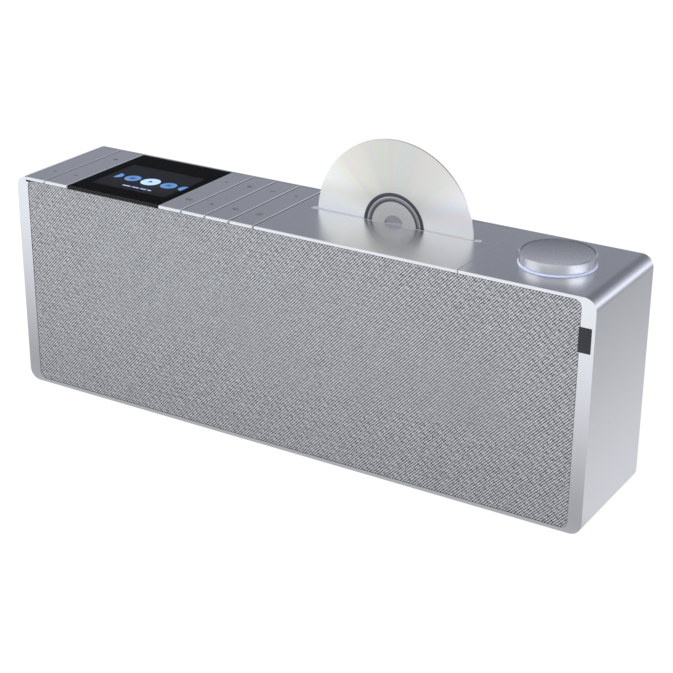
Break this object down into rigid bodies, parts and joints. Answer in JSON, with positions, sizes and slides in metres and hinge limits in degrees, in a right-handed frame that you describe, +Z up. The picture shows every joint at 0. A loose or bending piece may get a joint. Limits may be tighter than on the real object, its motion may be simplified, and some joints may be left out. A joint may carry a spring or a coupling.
{
  "type": "mini hifi system",
  "caption": "Long low table audio system: aluminium sleeve, woven grille, top keys and display, slot-loaded disc, rotary push knob with light ring",
  "frame": {"origin": "under the middle of the case, on the surface that its feet stand on", "axes": "+X to the right seen from the front, -Y towards the front, +Z up"},
  "size_m": [0.458, 0.092, 0.2234],
  "materials": {
    "aluminium_satin": "satin anodised",
    "steel_sheet": "zinc-plated sheet",
    "steel_bright": "bright turned steel",
    "motor_steel": "plated steel can",
    "magnet": "dark ferrite",
    "black_plastic": "fine texture",
    "bezel_paint": "satin grey",
    "display_glass": "black gloss window",
    "lens_glass": "clear",
    "light_guide": "frosted, lit pale blue",
    "grille_fabric": "woven melange grey",
    "tag_fabric": "fine woven charcoal",
    "felt": "black felt",
    "rubber_black": "matt black",
    "cone_paper": "coated paper",
    "coil_copper": "enamelled copper wire",
    "board_green": "green board",
    "disc_silver": "silver disc, iridescent"
  },
  "bodies": {
    "case": {"aerial_socket": "steel_bright", "baffle": "black_plastic", "case_sleeve": "aluminium_satin", "cover_screws": "steel_bright", "display_bezel": "bezel_paint", "display_glass": "display_glass", "display_panel": "black_plastic", "drive_belt": "rubber_black", "encoder_body": "black_plastic", "feet": "rubber_black", "grille_cloth": "grille_fabric", "grille_frame": "black_plastic", "grille_tag": "tag_fabric", "jack_sockets": "black_plastic", "key_boards": "board_green", "left_surround": "rubber_black", "light_ring": "light_guide", "loader_frame": "steel_sheet", "loading_motor": "motor_steel", "main_board": "board_green", "mains_inlet": "black_plastic", "pivot_rods": "steel_bright", "pole_pieces": "motor_steel", "power_board": "board_green", "rear_cover": "black_plastic", "reflex_port": "black_plastic", "right_surround": "rubber_black", "slot_felts": "felt", "slot_plate": "aluminium_satin", "speaker_baskets": "steel_sheet", "speaker_magnets": "magnet", "top_frame": "black_plastic", "usb_socket": "steel_sheet"},
    "key_1": {"key_1": "aluminium_satin"},
    "key_2": {"key_2": "aluminium_satin"},
    "key_3": {"key_3": "aluminium_satin"},
    "key_4": {"key_4": "aluminium_satin"},
    "key_5": {"key_5": "aluminium_satin"},
    "key_6": {"key_6": "aluminium_satin"},
    "knob_plunger": {"push_slider": "black_plastic"},
    "knob": {"knob_shaft": "steel_bright", "knob_dial": "aluminium_satin", "knob_cap": "aluminium_satin"},
    "disc": {"disc": "disc_silver"},
    "feed_roller_set": {"roller_shaft": "steel_bright", "feed_roller": "rubber_black"},
    "pressure_roller": {"pressure_roller": "black_plastic"},
    "motor_pulley": {"motor_pulley": "black_plastic"},
    "traverse": {"traverse_deck": "steel_sheet", "guide_rods": "steel_bright", "drive_motors": "motor_steel"},
    "turntable": {"turntable": "black_plastic"},
    "clamper": {"clamper": "black_plastic"},
    "sled": {"optical_sled": "black_plastic"},
    "lens": {"focus_lens": "lens_glass"},
    "lead_screw": {"lead_screw": "steel_bright"},
    "left_cone": {"left_cone": "cone_paper", "left_voice_coil": "coil_copper"},
    "right_cone": {"right_cone": "cone_paper", "right_voice_coil": "coil_copper"}
  },
  "joints": [
    {"name": "key_1_rock", "type": "hinge", "parent": "case", "child": "key_1", "pos_m": [-0.2115, 0, 0.1575], "axis": [1, 0, 0], "range_deg": [-0.6, 0.6], "stiffness_Nm_per_rad": 2},
    {"name": "key_2_rock", "type": "hinge", "parent": "case", "child": "key_2", "pos_m": [-0.1919, 0, 0.1575], "axis": [1, 0, 0], "range_deg": [-0.6, 0.6], "stiffness_Nm_per_rad": 2},
    {"name": "key_3_rock", "type": "hinge", "parent": "case", "child": "key_3", "pos_m": [-0.09, 0, 0.1575], "axis": [1, 0, 0], "range_deg": [-0.6, 0.6], "stiffness_Nm_per_rad": 2},
    {"name": "key_4_rock", "type": "hinge", "parent": "case", "child": "key_4", "pos_m": [-0.07, 0, 0.1575], "axis": [1, 0, 0], "range_deg": [-0.6, 0.6], "stiffness_Nm_per_rad": 2},
    {"name": "key_5_rock", "type": "hinge", "parent": "case", "child": "key_5", "pos_m": [-0.05, 0, 0.1575], "axis": [1, 0, 0], "range_deg": [-0.6, 0.6], "stiffness_Nm_per_rad": 2},
    {"name": "key_6_rock", "type": "hinge", "parent": "case", "child": "key_6", "pos_m": [-0.03, 0, 0.1575], "axis": [1, 0, 0], "range_deg": [-0.6, 0.6], "stiffness_Nm_per_rad": 2},
    {"name": "knob_press", "type": "slide", "parent": "case", "child": "knob_plunger", "axis": [0, 0, 1], "range_m": [-0.0008, 0], "stiffness_N_per_m": 3500, "springref_m": 0.0003},
    {"name": "knob_turn", "type": "hinge", "parent": "knob_plunger", "child": "knob", "pos_m": [0.1818, 0, 0.165], "axis": [0, 0, 1], "continuous": true},
    {"name": "disc_feed", "type": "slide", "parent": "case", "child": "disc", "axis": [0, 0, 1], "range_m": [-0.0724, 0.01]},
    {"name": "feed_roller_turn", "type": "hinge", "parent": "case", "child": "feed_roller_set", "pos_m": [0.0573, 0.0033, 0.148], "axis": [1, 0, 0], "continuous": true},
    {"name": "pressure_roller_turn", "type": "hinge", "parent": "case", "child": "pressure_roller", "pos_m": [0.0573, 0.0139, 0.148], "axis": [1, 0, 0], "continuous": true},
    {"name": "motor_pulley_turn", "type": "hinge", "parent": "case", "child": "motor_pulley", "pos_m": [-0.0148, 0.0033, 0.118], "axis": [1, 0, 0], "continuous": true},
    {"name": "traverse_lift", "type": "slide", "parent": "case", "child": "traverse", "axis": [0, 1, 0], "range_m": [0, 0.0025]},
    {"name": "turntable_turn", "type": "hinge", "parent": "traverse", "child": "turntable", "pos_m": [0.0573, 0.0059, 0.091], "axis": [0, 1, 0], "continuous": true},
    {"name": "clamper_turn", "type": "hinge", "parent": "case", "child": "clamper", "pos_m": [0.0573, 0.0141, 0.091], "axis": [0, 1, 0], "continuous": true},
    {"name": "sled_slide", "type": "slide", "parent": "traverse", "child": "sled", "axis": [0, 0, 1], "range_m": [-0.035, 0]},
    {"name": "lead_screw_turn", "type": "hinge", "parent": "traverse", "child": "lead_screw", "pos_m": [0.086, -0.001, 0.068], "axis": [0, 0, 1], "continuous": true},
    {"name": "lens_focus", "type": "slide", "parent": "sled", "child": "lens", "axis": [0, 1, 0], "range_m": [-0.0005, 0.0005], "stiffness_N_per_m": 20},
    {"name": "left_cone_travel", "type": "slide", "parent": "case", "child": "left_cone", "axis": [0, 1, 0], "range_m": [-0.0025, 0.0025], "stiffness_N_per_m": 1500, "deforming": ["left_surround"]},
    {"name": "right_cone_travel", "type": "slide", "parent": "case", "child": "right_cone", "axis": [0, 1, 0], "range_m": [-0.0025, 0.0025], "stiffness_N_per_m": 1500, "deforming": ["right_surround"]}
  ],
  "couplings": [
    {"joint": "feed_roller_turn", "follows": "disc_feed", "rad_per_m": 200},
    {"joint": "pressure_roller_turn", "follows": "disc_feed", "rad_per_m": -250},
    {"joint": "motor_pulley_turn", "follows": "disc_feed", "rad_per_m": 533.33},
    {"joint": "clamper_turn", "follows": "turntable_turn", "ratio": 1},
    {"joint": "lead_screw_turn", "follows": "sled_slide", "rad_per_m": 2094.4}
  ]
}
